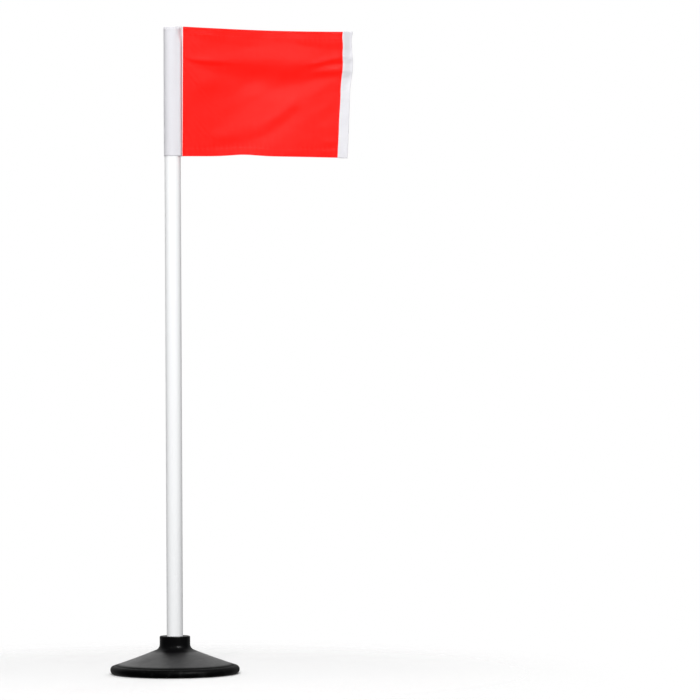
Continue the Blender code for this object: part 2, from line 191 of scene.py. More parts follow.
def turned(name, profile, sides, sway=None, sharp=40):
    """A surface turned about Z from a profile that runs from the top of its axis down its outer side.
    sway(radius, height, angle) moves the points outward by a small distance."""
    profile = np.array(profile)
    angles = np.arange(sides) * 2 * math.pi / sides
    radius = np.repeat(profile[:, :1], sides, axis=1)
    height = np.repeat(profile[:, 1:], sides, axis=1)
    if sway is not None:
        radius = radius + np.where(radius > 1e-6, sway(radius, height, angles[None, :]), 0)
    points = np.stack([radius * np.cos(angles), radius * np.sin(angles), height], axis=2)
    along = run_along(profile)
    around = np.repeat((angles * BASE_RADIUS)[None, :], len(profile), axis=0)
    uv = np.stack([around, np.repeat(along[:, None], sides, axis=1)], axis=2).reshape(-1, 2)
    first = 1 if profile[0][0] < 1e-6 else 0
    last = len(profile) - 1 if profile[-1][0] < 1e-6 else len(profile)
    vertices = list(points[first:last].reshape(-1, 3))
    uv = list(uv[first * sides:last * sides])
    rows = last - first
    faces = flipped(grid_faces(rows, sides, closed=True))
    if first:
        vertices.append((0, 0, profile[0][1]))
        uv.append((0, 0))
        top = len(vertices) - 1
        faces += [(top, i, (i + 1) % sides) for i in range(sides)]
    if last < len(profile):
        vertices.append((0, 0, profile[-1][1]))
        uv.append((0, along[-1]))
        bottom = len(vertices) - 1
        start = (rows - 1) * sides
        faces += [(bottom, start + (i + 1) % sides, start + i) for i in range(sides)]
    if not first and last == len(profile) and np.allclose(profile[0], profile[-1]):
        vertices = vertices[:-sides]
        uv = uv[:-sides]
        wrap = (rows - 1) * sides
        faces = [tuple(v - wrap if v >= wrap else v for v in face) for face in faces]
    made = new_object(name, vertices, faces, uv)
    made.data.set_sharp_from_angle(angle=math.radians(sharp))
    return made


def add_piece(piece, material, body, slot, *nodes):
    """Gives a piece its material and the body that it rides, and hides the nodes that it replaces; slot is
    not used.
    """
    piece.data.materials.append(material)
    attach(piece, body)
    if nodes:
        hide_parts(*nodes)
    return piece


def one_layer(piece):
    """Gives a surface the thickness of one layer of cloth, half of it to either side."""
    solid = piece.modifiers.new("thickness", "SOLIDIFY")
    solid.thickness = CLOTH
    solid.offset = 0


def cloth_piece(name, points, uv, material, slot, node):
    """A piece of the flag from rows of points."""
    points, uv = np.stack(points), np.stack(uv)
    faces = grid_faces(*points.shape[:2])
    piece = new_object(name, points.reshape(-1, 3), faces, uv.reshape(-1, 2))
    one_layer(piece)
    return add_piece(piece, material, "flag", slot, node)


def ripple(a, b, seed, size):
    """Smooth, repeatable unevenness between about -1 and 1 over two coordinates in metres."""
    chance = np.random.default_rng(seed)
    total = np.zeros(np.broadcast(a, b).shape)
    waves = 9
    for _ in range(waves):
        angle = chance.uniform(0, math.pi)
        length = size * chance.uniform(0.6, 1.7)
        phase = chance.uniform(0, 2 * math.pi)
        total += np.sin(2 * math.pi * (a * math.cos(angle) + b * math.sin(angle)) / length + phase)
    return total / math.sqrt(waves) / 1.5


# ------------ material helpers


def add_node(tree, kind, inputs=None, **settings):
    """A shader node. An input given as a socket is linked, and anything else is its value."""
    node = tree.nodes.new(kind)
    for key, value in settings.items():
        setattr(node, key, value)
    for key, value in (inputs or {}).items():
        if isinstance(value, bpy.types.NodeSocket):
            tree.links.new(value, node.inputs[key])
        else:
            node.inputs[key].default_value = value
    return node


def calc(tree, operation, first, second=0.0, third=0.0):
    node = add_node(tree, "ShaderNodeMath", {0: first, 1: second, 2: third}, operation=operation)
    return node.outputs[0]


def times(tree, first, second):
    return calc(tree, "MULTIPLY", first, second)


def plus(tree, first, second):
    return calc(tree, "ADD", first, second)


def remap(tree, value, low, high, to_low=0.0, to_high=1.0):
    inputs = {"Value": value, 1: low, 2: high, 3: to_low, 4: to_high}
    return add_node(tree, "ShaderNodeMapRange", inputs, interpolation_type="SMOOTHSTEP").outputs[0]


def blend(tree, share, first, second):
    """Mixes two colours, each a socket or three numbers."""
    first, second = (side if isinstance(side, bpy.types.NodeSocket) else (*side, 1.0)
                     for side in (first, second))
    node = add_node(tree, "ShaderNodeMix", {0: share, 6: first, 7: second}, data_type="RGBA")
    return node.outputs[2]


def noise(tree, where, scale, detail=3.0, rough=0.55):
    inputs = {"Vector": where, "Scale": scale, "Detail": detail, "Roughness": rough}
    return add_node(tree, "ShaderNodeTexNoise", inputs).outputs[0]


def split(tree, vector):
    return add_node(tree, "ShaderNodeSeparateXYZ", {0: vector}).outputs


def stretched(tree, where, scale):
    return add_node(tree, "ShaderNodeMapping", {"Vector": where, "Scale": scale}).outputs[0]


def surface(name, **sockets):
    """A material whose Principled shader has these constant sockets, its node tree, and the place on
    the piece that its textures follow."""
    material = bpy.data.materials.new(name)
    material.use_nodes = True
    tree = material.node_tree
    for key, value in sockets.items():
        tree.nodes["Principled BSDF"].inputs[key.replace("_", " ")].default_value = value
    return material, tree, add_node(tree, "ShaderNodeTexCoord").outputs["Object"]


def from_axis(tree, where):
    """How far a place is from the pole's axis."""
    squares = [calc(tree, "POWER", part, 2.0) for part in split(tree, where)[:2]]
    return calc(tree, "SQRT", plus(tree, *squares))


def feed(tree, socket, value):
    """Links a value to a socket of the Principled shader."""
    tree.links.new(value, tree.nodes["Principled BSDF"].inputs[socket])


def bumped(tree, height, strength, distance):
    inputs = {"Height": height, "Strength": strength, "Distance": distance}
    feed(tree, "Normal", add_node(tree, "ShaderNodeBump", inputs).outputs[0])


def rubber_material():
    """Moulded black rubber: satin, with mould texture, faint dust, and scuffs where it gets knocked; its
    rim is painted darker still, as painted shade.
    """
    material, tree, where = surface("black_rubber")
    reach = from_axis(tree, where)
    clouds = noise(tree, where, 11.0, 4.0)
    grains = noise(tree, where, 620.0, 2.0)
    streaks = noise(tree, stretched(tree, where, (35.0, 35.0, 260.0)), 1.6, 3.0)
    rim = remap(tree, reach, DOME_FOOT[0] - 0.013, DOME_FOOT[0] - 0.0005)
    collar = remap(tree, reach, COLLAR_RADIUS + 0.01, COLLAR_RADIUS + 0.026, 1.0, 0.0)
    dull = calc(tree, "MAXIMUM", rim, collar)
    feed(tree, "Specular IOR Level", remap(tree, dull, 0.0, 1.0, 0.42, 0.05))
    scuffed = times(tree, rim, remap(tree, noise(tree, where, 46.0, 5.0), 0.56, 0.7))
    dusty = remap(tree, clouds, 0.42, 0.72)
    black = blend(tree, dusty, RUBBER, RUBBER_DUSTY)
    # painted shade: the rim is coloured darker than the rest of the rubber
    black = blend(tree, rim, black, RUBBER_RIM_PAINTED_SHADE)
    feed(tree, "Base Color", blend(tree, times(tree, scuffed, 0.3), black, RUBBER_SCUFFED))
    rough = remap(tree, clouds, 0.3, 0.75, 0.3, 0.43)
    rough = plus(tree, rough, times(tree, calc(tree, "SUBTRACT", streaks, 0.5), 0.14))
    rough = plus(tree, rough, times(tree, rim, 0.15))
    feed(tree, "Roughness", rough)
    height = plus(tree, times(tree, grains, 0.4), times(tree, streaks, 0.6))
    bumped(tree, height, 0.22, 0.0004)
    return material


def pole_material():
    """Extruded white plastic: low gloss, faint draw lines along it, a little grime towards its foot."""
    material, tree, where = surface("white_pole_plastic", Specular_IOR_Level=0.45, Coat_Weight=0.08)
    height = split(tree, where)[2]
    lines = noise(tree, stretched(tree, where, (420.0, 420.0, 1.5)), 1.0, 2.0)
    clouds = noise(tree, stretched(tree, where, (30.0, 30.0, 5.0)), 1.0, 4.0)
    specks = remap(tree, noise(tree, where, 240.0, 3.0), 0.68, 0.76)
    grime = remap(tree, height, 0.09, 0.5, 1.0, 0.0)
    grime = times(tree, grime, remap(tree, clouds, 0.35, 0.8, 0.25, 1.0))
    clean = blend(tree, clouds, POLE, POLE_PALE)
    marked = blend(tree, times(tree, specks, 0.1), clean, POLE_SPECK)
    feed(tree, "Base Color", blend(tree, times(tree, grime, 0.3), marked, POLE_GRIME))
    feed(tree, "Roughness", remap(tree, clouds, 0.3, 0.8, 0.27, 0.4))
    bumped(tree, lines, 0.12, 0.0002)
    return material


def plug_material(name, colour):
    """Moulded plastic with a fine spark-eroded grain."""
    material, tree, where = surface(name, Specular_IOR_Level=0.4)
    grains = noise(tree, where, 900.0, 2.0)
    clouds = noise(tree, where, 60.0, 3.0)
    feed(tree, "Base Color", blend(tree, clouds, colour, [0.85 * c for c in colour]))
    feed(tree, "Roughness", remap(tree, clouds, 0.3, 0.7, 0.42, 0.55))
    bumped(tree, grains, 0.2, 0.0002)
    return material


def weave(tree, pitch):
    """A plain weave on the piece's UVs: its height, and the two directions' thread-to-thread changes."""
    uv = add_node(tree, "ShaderNodeTexCoord").outputs["UV"]
    along, up, _ = split(tree, uv)
    turns = math.pi / pitch
    warp = calc(tree, "SINE", times(tree, along, turns))
    weft = calc(tree, "SINE", times(tree, up, turns))
    over = calc(tree, "GREATER_THAN", times(tree, warp, weft), 0.0)
    rise = calc(tree, "ABSOLUTE", warp)
    fall = calc(tree, "ABSOLUTE", weft)
    under = calc(tree, "SUBTRACT", 1.0, over)
    height = plus(tree, times(tree, rise, over), times(tree, fall, under))
    slubs = noise(tree, stretched(tree, uv, (1400.0, 14.0, 1.0)), 1.0, 2.0)
    picks = noise(tree, stretched(tree, uv, (14.0, 1400.0, 1.0)), 1.0, 2.0)
    return uv, height, slubs, picks


def cloth_material(name, colour, shade, pitch, rough, **sockets):
    """Woven cloth: threads with slubs, faint creasing and soft changes of tone, and painted shade in the
    gaps between its threads.
    """
    material, tree, where = surface(name, Specular_IOR_Level=0.5, Sheen_Roughness=0.45,
                                    Sheen_Tint=(1.0, 0.93, 0.93, 1.0), **sockets)
    uv, height, slubs, picks = weave(tree, pitch)
    clouds = noise(tree, where, 17.0, 4.0)
    creases = noise(tree, stretched(tree, uv, (60.0, 90.0, 1.0)), 1.0, 5.0, 0.62)
    threads = plus(tree, slubs, picks)
    tone = remap(tree, plus(tree, times(tree, clouds, 0.5), times(tree, threads, 0.25)), 0.3, 0.75)
    base = blend(tree, tone, colour, shade)
    # painted shade: darker where the weave dips between threads
    weave_gap_shade = times(tree, calc(tree, "SUBTRACT", 1.0, height), 0.16)
    base = blend(tree, weave_gap_shade, base, [0.6 * c for c in shade])
    feed(tree, "Base Color", base)
    feed(tree, "Roughness", remap(tree, clouds, 0.3, 0.75, rough - 0.05, rough + 0.07))
    relief = plus(tree, times(tree, height, 0.35), times(tree, threads, 0.1))
    relief = plus(tree, relief, times(tree, creases, 1.6))
    bumped(tree, relief, 0.35, 0.0005)
    return material


def thread_material(name, colour):
    """Twisted sewing thread, painted darker in the grooves of its twist as painted shade."""
    material, tree, where = surface(name, Specular_IOR_Level=0.35, Sheen_Weight=0.3)
    twist = add_node(tree, "ShaderNodeTexWave", {"Vector": where, "Scale": 900.0, "Distortion": 1.5},
                     bands_direction="DIAGONAL").outputs["Fac"]
    # painted shade: darker in the twist's grooves
    feed(tree, "Base Color", blend(tree, twist, [0.75 * c for c in colour], colour))
    feed(tree, "Roughness", remap(tree, twist, 0.0, 1.0, 0.5, 0.65))
    bumped(tree, twist, 0.3, 0.0001)
    return material


# ------------ rubber base


def base_profile():
    bore = POLE_RADIUS + SOCKET_CLEARANCE
    points = [(0, SOCKET_FLOOR), (bore - 0.001, SOCKET_FLOOR), (bore, SOCKET_FLOOR + 0.001)]
    points += [(bore, z) for z in np.linspace(0.03, BASE_HEIGHT - SOCKET_CHAMFER - 0.001, 5)]
    points += arc((bore + 0.002, BASE_HEIGHT - SOCKET_CHAMFER - 0.0008), 0.002, 180, 135, 4)
    points += arc((bore + SOCKET_CHAMFER + 0.0004, BASE_HEIGHT - 0.0014), 0.0014, 135, 90, 5)
    points += arc((COLLAR_RADIUS - COLLAR_EDGE, BASE_HEIGHT - COLLAR_EDGE), COLLAR_EDGE, 90, 0, 8)
    flank_radius = COLLAR_RADIUS + FOOT_FILLET * (1 - math.sin(DOME_SLOPE))
    flank_height = DOME_FOOT[1] + (DOME_FOOT[0] - flank_radius) * math.tan(DOME_SLOPE)
    fillet = (COLLAR_RADIUS + FOOT_FILLET, flank_height + FOOT_FILLET * math.cos(DOME_SLOPE))
    points += [(COLLAR_RADIUS, z) for z in np.linspace(BASE_HEIGHT - 0.006, fillet[1] + 0.002, 4)]
    points += arc(fillet, FOOT_FILLET, 180, 270 - math.degrees(DOME_SLOPE), 16)
    for share in np.linspace(0, 1, 27)[1:]:
        radius = flank_radius + (DOME_FOOT[0] - flank_radius) * share
        height = flank_height + (DOME_FOOT[1] - flank_height) * share
        points.append((radius, height - 4 * DOME_HOLLOW * share * (1 - share)))
    rim = (BASE_RADIUS - RIM_EDGE, RIM_TOP - RIM_EDGE)
    for share in np.linspace(0, 1, 9)[1:-1]:
        radius = DOME_FOOT[0] + (rim[0] - DOME_FOOT[0]) * share
        height = DOME_FOOT[1] + (RIM_TOP - DOME_FOOT[1]) * share
        points.append((radius, height - GROOVE_DEPTH * math.sin(math.pi * share)))
    points += arc(rim, RIM_EDGE, 90, 0, 12)
    points.append((BASE_RADIUS, (rim[1] + BOTTOM_EDGE) / 2))
    points += arc((BASE_RADIUS - BOTTOM_EDGE, BOTTOM_EDGE), BOTTOM_EDGE, 0, -90, 8)
    points += [(RECESS_OUTER + 0.0008, 0), (RECESS_OUTER, 0.0008), (RECESS_OUTER - 0.0006, RECESS_DEPTH)]
    points += [(RECESS_INNER + 0.0006, RECESS_DEPTH), (RECESS_INNER, 0.0008), (RECESS_INNER - 0.0008, 0)]
    points.append((0, 0))
    return points


def moulded_sway(radius, height, angle):
    """The slight unevenness of a thick rubber moulding, which breaks up its reflections."""
    outside = np.clip((radius - COLLAR_RADIUS + 0.001) / 0.004, 0, 1) * np.clip(height / 0.006, 0, 1)
    uneven = ripple(radius * np.cos(angle), radius * np.sin(angle), 5, 0.07)
    return 0.00022 * outside * uneven


def under_rib(index):
    """One rib across the recess, its ends sunk in the foot ring and in the middle boss."""
    low, high = RECESS_INNER - 0.0012, RECESS_OUTER + 0.0012
    edge = 0.0007
    half = RIB_WIDTH / 2
    section = [(-half, RECESS_DEPTH + 0.001), (-half, edge), (-half + edge, 0.00005)]
    section += [(half - edge, 0.00005), (half, edge), (half, RECESS_DEPTH + 0.001)]
    vertices = [(x, y, z) for x in (low, high) for y, z in section]
    count = len(section)
    faces = [(i, (i + 1) % count, count + (i + 1) % count, count + i) for i in range(count)]
    faces += [tuple(range(count)), tuple(range(2 * count - 1, count - 1, -1))]
    rib = new_object(f"under_rib_{index}", vertices, flipped(faces))
    rib.data.shade_flat()
    rib.matrix_world = Matrix.Rotation(2 * math.pi * (index + 0.5) / RIBS, 4, "Z")
    return rib


def make_base(rubber):
    moulding = turned("moulded_base", base_profile(), BASE_SIDES, moulded_sway)
    add_piece(moulding, rubber, "base", "base_rubber", "rubber_base")
    for index in range(RIBS):
        add_piece(under_rib(index), rubber, "base", "base_rubber")


# ------------ pole


def make_pole(plastic):
    edge = 0.0005
    inner = POLE_RADIUS - POLE_WALL
    profile = arc((POLE_RADIUS - edge, TUBE_HIGH - edge), edge, 90, 0, 4)
    profile += [(POLE_RADIUS, z) for z in np.linspace(TUBE_HIGH - 0.01, TUBE_LOW + 0.01, 60)]
    profile += arc((POLE_RADIUS - edge, TUBE_LOW + edge), edge, 0, -90, 4)
    profile += [(inner, TUBE_LOW), (inner, TUBE_HIGH), profile[0]]

    def drawn(radius, height, angle):
        return 0.00006 * ripple(angle * 0.02, height * 0.2, 11, 0.05) * (radius > POLE_RADIUS - edge)

    add_piece(turned("pole", profile, POLE_SIDES, drawn, 50), plastic, "pole", "pole_plastic", "pole_tube")


def make_cap(plastic):
    seat = CAP_HIGH - CAP_HEAD
    stem = POLE_RADIUS - POLE_WALL - PLUG_EASE
    profile = [(0, CAP_HIGH), (0.004, CAP_HIGH)]
    profile += arc((POLE_RADIUS - CAP_ROUND, CAP_HIGH - CAP_ROUND), CAP_ROUND, 90, 0, 12)
    profile += [(POLE_RADIUS, seat + 0.0004), (POLE_RADIUS - 0.0004, seat), (stem, seat)]
    profile += [(stem, CAP_LOW + 0.001), (stem - 0.0008, CAP_LOW), (stem - PLUG_WALL, CAP_LOW)]
    profile += [(stem - PLUG_WALL, seat), (0, seat)]
    add_piece(turned("pole_cap", profile, PLUG_SIDES), plastic, "pole", "cap_plastic", "pole_top_cap")


def make_plug(plastic):
    stem = POLE_RADIUS - POLE_WALL - PLUG_EASE
    head = PLUG_LOW + PLUG_HEAD
    profile = [(0, head), (stem - PLUG_WALL, head), (stem - PLUG_WALL, PLUG_HIGH)]
    profile += [(stem - 0.0006, PLUG_HIGH), (stem, PLUG_HIGH - 0.0008), (stem, head)]
    profile.append((POLE_RADIUS - 0.0003, head))
    profile += [(POLE_RADIUS, head - 0.0004), (POLE_RADIUS, PLUG_LOW + 0.001)]
    profile += arc((POLE_RADIUS - 0.001, PLUG_LOW + 0.001), 0.001, 0, -90, 4)
    profile.append((0, PLUG_LOW))
    add_piece(turned("pole_plug", profile, PLUG_SIDES), plastic, "pole", "plug_plastic", "pole_foot_plug")


# ------------ flag cloth


def ease(value):
    """0 below 0, 1 above 1, and a smooth step between them."""
    value = np.clip(value, 0, 1)
    return value * value * (3 - 2 * value)


def bump(value, centre, width):
    return np.exp(-(((value - centre) / width) ** 2))


def through(points, s):
    """A smooth curve over s through a few chosen (s, value) points."""
    xs, ys = np.array(points, float).T
    slopes = np.gradient(ys, xs)
    i = np.clip(np.searchsorted(xs, s) - 1, 0, len(xs) - 2)
    span = xs[i + 1] - xs[i]
    u = np.clip((s - xs[i]) / span, 0, 1)
    start = (1 + 2 * u) * (1 - u) ** 2 * ys[i] + u * (1 - u) ** 2 * span * slopes[i]
    return start + u * u * (3 - 2 * u) * ys[i + 1] - u * u * (1 - u) * span * slopes[i + 1]


# Folds seen from the front. Each has a line of (share along the cloth, share up it) where the cloth
# faces down most, its width along that line, its slope there, and where along the cloth it starts and ends.
FOLDS = (
    (((0, 0.735), (0.12, 0.72), (0.3, 0.69), (0.5, 0.672), (0.63, 0.657), (0.78, 0.683), (1, 0.71)),
     ((0, 0.022), (0.14, 0.038), (0.3, 0.066), (0.5, 0.09), (0.63, 0.102), (0.8, 0.065), (1, 0.04)),
     0.24, (0.03, 0.84)),
    (((0, 0.74), (0.1, 0.732), (0.2, 0.724), (0.36, 0.728)), ((0, 0.014), (0.36, 0.02)),
     0.3, (0.04, 0.3)),
    (((0.6, 0.71), (0.78, 0.73), (0.88, 0.762), (1, 0.775)), ((0.6, 0.02), (1, 0.026)),
     0.42, (0.74, 1.1)),
    (((0.6, 0.64), (0.8, 0.66), (1, 0.667)), ((0.6, 0.04), (1, 0.028)),
     0.3, (0.76, 1.1)),
    (((0, 0.06), (0.24, 0.11), (0.4, 0.15), (0.505, 0.215), (0.61, 0.32), (0.71, 0.42), (0.85, 0.52)),
     ((0, 0.04), (0.5, 0.06), (0.85, 0.05)), 0.12, (0.16, 0.72)),
    (((0, 0.955), (0.1, 0.935), (0.2, 0.915), (0.44, 0.885), (0.6, 0.885)),
     ((0, 0.02), (0.6, 0.03)), 0.08, (0.04, 0.46)),
    (((0.5, 0.935), (0.63, 0.925), (0.76, 0.9), (0.88, 0.893), (1, 0.885)),
     ((0.5, 0.02), (1, 0.03)), 0.14, (0.62, 1.1)),
    (((0, 0.4), (0.15, 0.5), (0.3, 0.56), (0.5, 0.6)), ((0, 0.09), (0.5, 0.06)),
     0.07, (0.0, 0.42)),
    (((0.7, 0.13), (0.91, 0.1), (1, 0.11)), ((0.7, 0.025), (1, 0.03)),
     0.2, (0.84, 0.96)),
)


def fold_depth(fold, s, t):
    """A ridge over a valley: its depth, towards the back, to either side of the fold's line."""
    line, widths, steep, (starts, ends) = fold
    width = through(widths, s)
    off = (t - through(line, s)) / width
    reach = ease((s - starts + 0.04) / 0.12) * ease((ends + 0.04 - s) / 0.12)
    return -steep * width * FLAG_HEIGHT * reach * off * np.exp(-0.5 * off * off)


def goal_depth(s, t):
    """How far the folded cloth stands towards the back, before the simulation settles it."""
    total = 0.0042 * np.sin(2.1 * math.pi * (s - 0.25 * t))
    total = total + 0.005 * (1 - t) * s * s * np.sin(3.2 * math.pi * s)
    total = total - 0.011 * ease((0.62 - t) / 0.7) * ease(s / 0.6)
    total = total * ease((s - 0.015) / 0.22)
    total = total + 0.009 * ease((t - 0.47) / 0.2) * ease((s - 0.93) / 0.07)
    free = ease((s - 0.012) / 0.05) * (1 - 0.6 * ease((s - 0.9) / 0.06))
    for fold in FOLDS:
        total = total + fold_depth(fold, s, t) * free
    return total


def fly_edge(t):
    """How far out the fly edge stands: the cloth bulges a little above its middle."""
    corners = 0.0022 * ease((t - 0.94) / 0.06) - 0.0012 * ease((0.22 - t) / 0.22)
    return FLY_BOTTOM + (FLY_TOP - FLY_BOTTOM) * t + FLY_BULGE * bump(t, 0.735, 0.125) + corners


def tape_turn(s, t):
    """How far the tape's inner edge stands towards the fly, where the tape is turned a little away."""
    beside = ease((s - 0.86) / 0.08) * (1 - ease((s - 0.95) / 0.05))
    return beside * (0.0028 * bump(t, 0.9, 0.06) + 0.0015 * bump(t, 0.47, 0.12))


def goal_point(s, t):
    """The cloth's front-to-back middle: s runs from the hoist edge to the fly, t from bottom to top."""
    droop = TOP_DROOP * (1 - np.clip(1 - s, 0, 1) ** 1.7)
    low = (BOTTOM_LIFT * bump(s, 0.375, 0.11) - BOTTOM_DROOP * s * s) * ease(s / 0.1)
    z = SLEEVE_LOW + low + (FLAG_HEIGHT - droop - low) * t
    x = PANEL_HOIST + (fly_edge(t) - PANEL_HOIST) * s + tape_turn(s, t)
    return np.stack([x, goal_depth(s, t), z], axis=-1)


SIM_COLUMNS, SIM_ROWS = 113, 85
SIM_FRAMES = 26
SIM_REACH = 0.0025  # how far the simulation may move a point from where the folds put it
SIM_SETTINGS = {
    "quality": 7, "mass": 0.1, "tension_stiffness": 25, "compression_stiffness": 25,
    "shear_stiffness": 8, "bending_stiffness": 1.2, "tension_damping": 12, "compression_damping": 12,
    "air_damping": 4, "pin_stiffness": 1.0,
}


def settled_cloth():
    """Cloth simulation: the sheet is cut flat at its real size, held at its seams, and lets its
    spare length buckle into the folds that it starts from. Returns its points, rows x columns."""
    s, t = np.meshgrid(np.linspace(0, 1, SIM_COLUMNS), np.linspace(0, 1, SIM_ROWS))
    goal = goal_point(s, t)
    uneven = 0.0004 * ripple(goal[..., 0], goal[..., 2], 21, 0.05) * ease((s - 0.02) / 0.1)
    start = goal.copy()
    start[..., 1] += uneven
    blank = new_object("cloth_blank", start.reshape(-1, 3), grid_faces(SIM_ROWS, SIM_COLUMNS))
    flat = [PANEL_HOIST + FLAT_WIDTH * s, 0 * s, SLEEVE_LOW + FLAT_HEIGHT * t]
    blank.shape_key_add(name="hung")
    cut = blank.shape_key_add(name="cut")
    cut.data.foreach_set("co", np.stack(flat, axis=-1).astype(np.float32).ravel())
    held = np.maximum(0.2, 1.0 * (s * FLAT_WIDTH < SEAM_END - PANEL_HOIST + 0.001))
    held = np.maximum(held, 0.5 * ease((s - 0.97) / 0.03))
    held = np.maximum(held, 0.35 * (1 - ease(np.minimum(t, 1 - t) / 0.04)))
    group = blank.vertex_groups.new(name="held")
    for index, weight in enumerate(held.ravel()):
        group.add([index], float(weight), "REPLACE")
    cloth = blank.modifiers.new("settle", "CLOTH")
    for key, value in SIM_SETTINGS.items():
        setattr(cloth.settings, key, value)
    cloth.settings.vertex_group_mass = "held"
    cloth.settings.rest_shape_key = cut
    cloth.settings.effector_weights.gravity = 0.15
    cloth.collision_settings.use_collision = False
    cloth.collision_settings.use_self_collision = False
    cloth.point_cache.frame_start = 1
    cloth.point_cache.frame_end = SIM_FRAMES
    scene = bpy.context.scene
    for number in range(1, SIM_FRAMES + 1):
        scene.frame_set(number)
    graph = bpy.context.evaluated_depsgraph_get()
    mesh = blank.evaluated_get(graph).to_mesh()
    settled = np.empty(len(mesh.vertices) * 3)
    mesh.vertices.foreach_get("co", settled)
    settled = settled.reshape(goal.shape)
    scene.frame_set(1)
    bpy.data.objects.remove(blank, do_unlink=True)
    moved = settled - goal
    length = np.linalg.norm(moved, axis=2, keepdims=True)
    return goal + moved * (SIM_REACH * np.tanh(length / SIM_REACH) / np.maximum(length, 1e-9))


def spline_weights(share):
    """How much each of four points in a row counts, between its second and its third."""
    squared, cubed = share**2, share**3
    return (
        -0.5 * cubed + squared - 0.5 * share,
        1.5 * cubed - 2.5 * squared + 1,
        -1.5 * cubed + 2 * squared + 0.5 * share,
        0.5 * cubed - 0.5 * squared,
    )


class Sheet:
    """The settled cloth as a smooth surface that can be read at any (s, t)."""

    def __init__(self, points):
        self.points = points
        self.rows, self.columns = points.shape[:2]

    def at(self, s, t):
        x = np.clip(s, 0, 1) * (self.columns - 1)
        y = np.clip(t, 0, 1) * (self.rows - 1)
        i = np.clip(np.floor(x).astype(int), 0, self.columns - 2)
        j = np.clip(np.floor(y).astype(int), 0, self.rows - 2)
        across, up = spline_weights(x - i), spline_weights(y - j)
        total = 0
        for b in range(4):
            row = np.clip(j + b - 1, 0, self.rows - 1)
            for a in range(4):
                column = np.clip(i + a - 1, 0, self.columns - 1)
                total = total + self.points[row, column] * (across[a] * up[b])[..., None]
        return total

    def frame_at(self, s, t):
        """The point, the unit direction towards the fly, the unit direction up, and the front normal."""
        step = 0.004
        along = unit(self.at(s + step, t) - self.at(s - step, t))
        up = unit(self.at(s, t + step) - self.at(s, t - step))
        return self.at(s, t), along, up, unit(np.cross(along, up))


HEM_SHARE = HEM_WIDTH / FLAT_HEIGHT
BAND_SHARE = 1 - BAND_WIDTH / FLAT_WIDTH
SEAM_SHARE = (SEAM_END - PANEL_HOIST) / FLAT_WIDTH


def pucker(distance, along, seed):
    """The small gathers that a row of stitches pulls into cloth: distance is from the row, in metres."""
    phase = 1.3 * ripple(along, 0 * along, seed, 0.06)
    return bump(distance, 0, 0.007) * np.sin(2 * math.pi * along / 0.0115 + phase)


def panel_relief(s, t):
    """Small relief on the front of the panel: hems, puckers beside the seams, fine creases."""
    x, z = s * FLAT_WIDTH, t * FLAT_HEIGHT
    relief = 0.00022 * pucker(x - (SEAM_END - PANEL_HOIST), z, 33)
    for within, seed in ((z - (FLAT_HEIGHT - HEM_WIDTH), 31), (HEM_WIDTH - z, 32)):
        relief = relief + 0.00035 * ease(within / 0.0016 + 0.5) - 0.00025 * bump(within, -0.0006, 0.0008)
        relief = relief + 0.00026 * pucker(within, x, seed)
    relief = relief + 0.00028 * pucker(x - (FLAT_WIDTH - BAND_WIDTH), z, 34)
    return relief + 0.00016 * ripple(x, z, 35, 0.03)


def make_panel(sheet, cloth):
    """The red panel, with its top and bottom edges folded to the back into hems."""
    s = np.linspace(0, 1 - 0.0004 / FLAT_WIDTH, 201)
    fold = (CLOTH + LAYER_GAP) / 2
    layers = [(share, 180.0) for share in np.linspace(HEM_SHARE, 0, 10)]
    layers += [(0.0, -angle) for angle in (135.0, 90.0, 45.0)]
    layers += [(share, 0.0) for share in np.linspace(0, HEM_SHARE, 12)]
    layers += [(share, 0.0) for share in np.linspace(HEM_SHARE, 1 - HEM_SHARE, 134)[1:-1]]
    layers += [(share, 0.0) for share in np.linspace(1 - HEM_SHARE, 1, 12)]
    layers += [(1.0, angle) for angle in (45.0, 90.0, 135.0)]
    layers += [(share, 180.0) for share in np.linspace(1, 1 - HEM_SHARE, 10)]
    points, uv = [], []
    run = 0.0
    last = None
    for t, angle in layers:
        point, _, up, front = sheet.frame_at(s, np.full_like(s, t))
        turn = math.radians(abs(angle))
        side = math.copysign(1.0, angle) if angle else 0.0
        behind = fold * (1 - math.cos(turn))
        beyond = fold * math.sin(turn) * side
        relief = panel_relief(s, np.full_like(s, t))[:, None]
        row = point + front * (relief - behind) + up * beyond
        if last is not None:
            run += float(np.linalg.norm(row - last, axis=1).mean())
        last = row
        points.append(row)
        uv.append(np.stack([s * FLAT_WIDTH, np.full_like(s, run)], axis=1))
    return cloth_piece("flag_cloth", points, uv, cloth, "red_cloth", "flag_panel")


def band_relief(x, z):
    """Creases across the tape and gathers beside its stitches; x is from its inner edge."""
    creases = 0.0
    for height, depth, lean in ((0.91, 0.00045, 0.1), (0.72, 0.0003, -0.2), (0.53, 0.0006, 0.25),
                                (0.5, 0.0004, -0.1), (0.3, 0.00025, 0.1)):
        creases = creases + depth * bump(z - height * FLAT_HEIGHT, lean * x, 0.0022)
    gathers = 0.0002 * pucker(x - SEAM_INSET, z, 41) - 0.0002 * bump(x, SEAM_INSET, 0.0008)
    return gathers - creases + 0.00012 * ripple(x, z, 42, 0.02)


